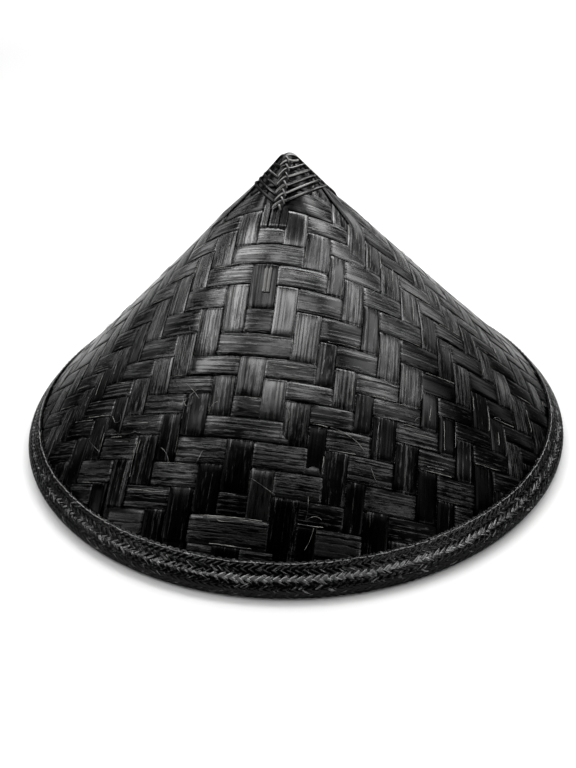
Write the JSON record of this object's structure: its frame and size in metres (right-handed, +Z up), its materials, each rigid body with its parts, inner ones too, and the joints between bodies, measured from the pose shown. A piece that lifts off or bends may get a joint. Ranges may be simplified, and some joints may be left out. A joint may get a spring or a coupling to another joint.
{
  "type": "woven bamboo cone hat",
  "caption": "Wide black cone-shaped hat woven from flat bamboo strips, with a braided band folded over its rim and a lashed tip.",
  "frame": {"origin": "centre of the circle on which the rim stands, on the floor", "axes": "+Z up through the tip; -Y towards the front seam, the one with the showing rib; +X to the wearer's left, on the right of the picture"},
  "size_m": [0.4048, 0.4048, 0.2016],
  "materials": {
    "bamboo_weave": "flat split-bamboo strips, dyed black, with a soft gloss along the grain",
    "rim_braid": "fine braided cane strands, dyed black, semi-gloss",
    "tip_cane": "split cane and cane strand, dyed black, semi-gloss"
  },
  "bodies": {
    "root": {"crown": "bamboo_weave", "rim_band": "rim_braid", "tip_rib_front": "tip_cane", "tip_rib_right": "tip_cane", "tip_rib_left": "tip_cane", "rib_tail_front": "tip_cane", "tip_lashing": "tip_cane"}
  },
  "joints": []
}
